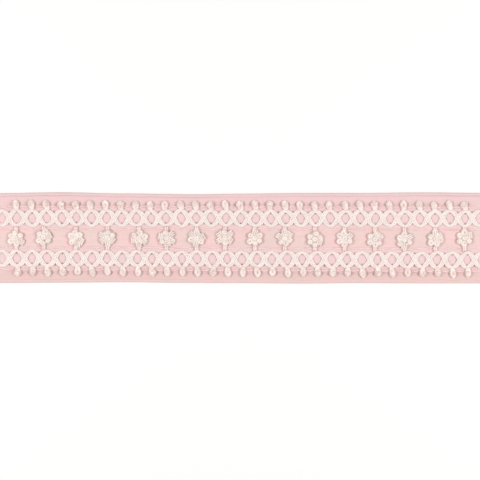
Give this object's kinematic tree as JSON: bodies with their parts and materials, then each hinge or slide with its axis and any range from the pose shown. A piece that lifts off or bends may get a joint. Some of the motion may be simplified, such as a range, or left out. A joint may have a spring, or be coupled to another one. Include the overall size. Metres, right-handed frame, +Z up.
{
  "type": "tape trim",
  "caption": "Flat cloth tape with turned edges, stitched with rows of crossed-yarn ovals, short-stalked knots and petalled rosettes, for edging clothes and furnishings.",
  "frame": {"origin": "centre of the tape's flat back, half way along the cut length", "axes": "+X along the tape, +Y across it towards the upper edge in the picture, +Z up out of the stitched face"},
  "size_m": [0.345, 0.064, 0.0043],
  "materials": {
    "tape_cloth": "soft matt woven cotton, pale pink",
    "oval_yarn": "soft twisted wool yarn, ivory",
    "tonal_cord": "thin twisted cotton cord, pale pink",
    "rosette_yarn": "wound and knotted wool yarn, ivory"
  },
  "bodies": {
    "root": {"tape": "tape_cloth", "upper_yarn_a": "oval_yarn", "upper_yarn_b": "oval_yarn", "lower_yarn_a": "oval_yarn", "lower_yarn_b": "oval_yarn", "upper_scallop_cord": "tonal_cord", "upper_swag_cord": "tonal_cord", "lower_scallop_cord": "tonal_cord", "lower_swag_cord": "tonal_cord", "rosette_01": "rosette_yarn", "rosette_02": "rosette_yarn", "rosette_03": "rosette_yarn", "rosette_04": "rosette_yarn", "rosette_05": "rosette_yarn", "rosette_06": "rosette_yarn", "rosette_07": "rosette_yarn", "rosette_08": "rosette_yarn", "rosette_09": "rosette_yarn", "rosette_10": "rosette_yarn", "rosette_11": "rosette_yarn", "rosette_12": "rosette_yarn", "rosette_13": "rosette_yarn", "rosette_14": "rosette_yarn", "rosette_15": "rosette_yarn", "rosette_16": "rosette_yarn"}
  },
  "joints": []
}
